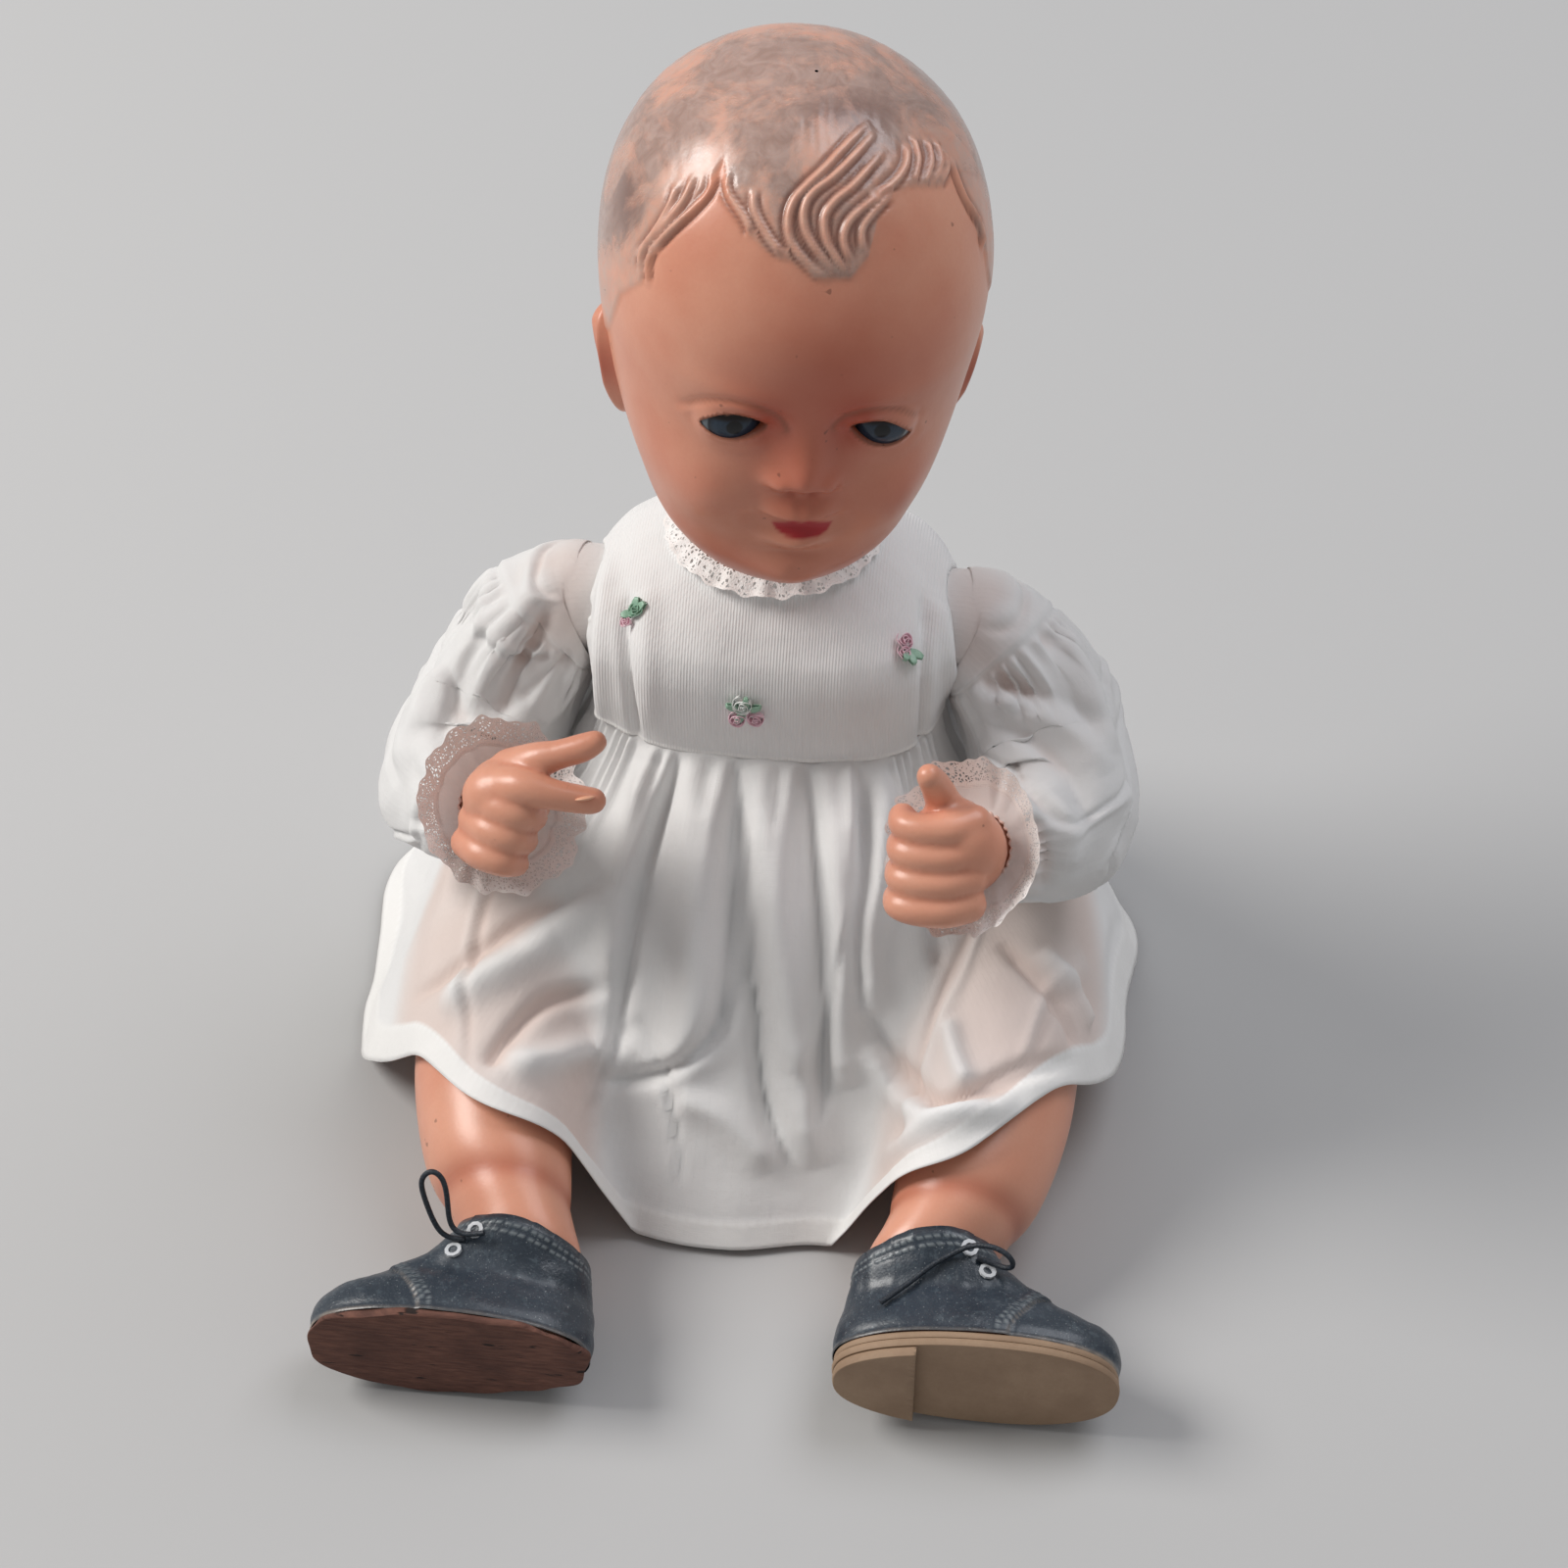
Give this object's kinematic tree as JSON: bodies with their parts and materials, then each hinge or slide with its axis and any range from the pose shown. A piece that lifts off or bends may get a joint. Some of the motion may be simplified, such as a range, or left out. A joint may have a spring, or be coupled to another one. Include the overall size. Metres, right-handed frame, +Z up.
{
  "type": "baby doll",
  "caption": "Sitting baby doll with moulded hair, sleep eyes and strung limbs, in a white lace-trimmed dress and worn leather shoes, one missing its outer sole.",
  "frame": {"origin": "middle of the flat seat that the torso sits on", "axes": "+Z up, the doll faces -Y, its left side is +X"},
  "size_m": [0.2601, 0.2926, 0.3423],
  "materials": {
    "skin": "satin",
    "glass": "polished glass",
    "cloth": "fine batiste",
    "lace": "cotton lace",
    "bud": "satin ribbon",
    "leaf": "satin ribbon",
    "leather": "worn",
    "board": "raw fibre board",
    "sole": "worn",
    "eyelet": "worn enamel",
    "cord": "braided cotton",
    "elastic": "covered with thread",
    "wood": "bare",
    "steel": "wire",
    "lead": "cast",
    "button": "gloss"
  },
  "bodies": {
    "torso": {"torso_shell": "skin", "arm_elastic": "elastic", "leg_elastic": "elastic", "dress_bodice": "cloth", "dress_skirt": "cloth", "neck_lace": "lace", "rosette_front_leaf": "leaf", "rosette_front_bud": "bud", "rosette_left_leaf": "leaf", "rosette_left_bud": "bud", "rosette_right_leaf": "leaf", "rosette_right_bud": "bud", "back_button_upper": "button", "back_button_lower": "button"},
    "neck": {"neck_hook": "steel", "neck_washer": "steel"},
    "head": {"head_shell": "skin", "eye_bracket": "wood"},
    "eyes": {"eye_right": "glass", "eye_left": "glass", "eye_rocker": "steel", "eye_weight": "lead"},
    "arm_right": {"arm_right_shell": "skin", "arm_toggle_right": "wood", "sleeve_right": "cloth", "cuff_lace_right": "lace"},
    "arm_left": {"arm_left_shell": "skin", "arm_toggle_left": "wood", "sleeve_left": "cloth", "cuff_lace_left": "lace"},
    "leg_right": {"leg_right_shell": "skin", "leg_toggle_right": "wood", "shoe_right_upper": "leather", "shoe_right_board": "board", "eyelet_right_upper": "eyelet", "eyelet_right_lower": "eyelet", "lace_right": "cord"},
    "leg_left": {"leg_left_shell": "skin", "leg_toggle_left": "wood", "shoe_left_upper": "leather", "shoe_left_board": "board", "shoe_left_sole": "sole", "shoe_left_heel": "sole", "eyelet_left_upper": "eyelet", "eyelet_left_lower": "eyelet", "lace_left": "cord"}
  },
  "joints": [
    {"name": "neck_nod", "type": "hinge", "parent": "torso", "child": "neck", "pos_m": [0, 0, 0.192], "axis": [1, 0, 0], "range_deg": [-3, 3]},
    {"name": "neck_turn", "type": "hinge", "parent": "neck", "child": "head", "pos_m": [0, 0, 0.192], "axis": [0, 0, 1], "range_deg": [-80, 80]},
    {"name": "eyes_close", "type": "hinge", "parent": "head", "child": "eyes", "pos_m": [0.01341, -0.05249, 0.26555], "axis": [0.9787, 0.1822, -0.0942], "range_deg": [0, 50]},
    {"name": "arm_right_swing", "type": "hinge", "parent": "torso", "child": "arm_right", "pos_m": [-0.05, 0, 0.137], "axis": [1, 0, 0], "range_deg": [-40, 0]},
    {"name": "arm_left_swing", "type": "hinge", "parent": "torso", "child": "arm_left", "pos_m": [0.05, 0, 0.137], "axis": [1, 0, 0], "range_deg": [-40, 0]},
    {"name": "leg_right_swing", "type": "hinge", "parent": "torso", "child": "leg_right", "pos_m": [-0.041, 0, 0.038], "axis": [1, 0, 0], "range_deg": [0, 90]},
    {"name": "leg_left_swing", "type": "hinge", "parent": "torso", "child": "leg_left", "pos_m": [0.041, 0, 0.038], "axis": [1, 0, 0], "range_deg": [0, 90]}
  ]
}
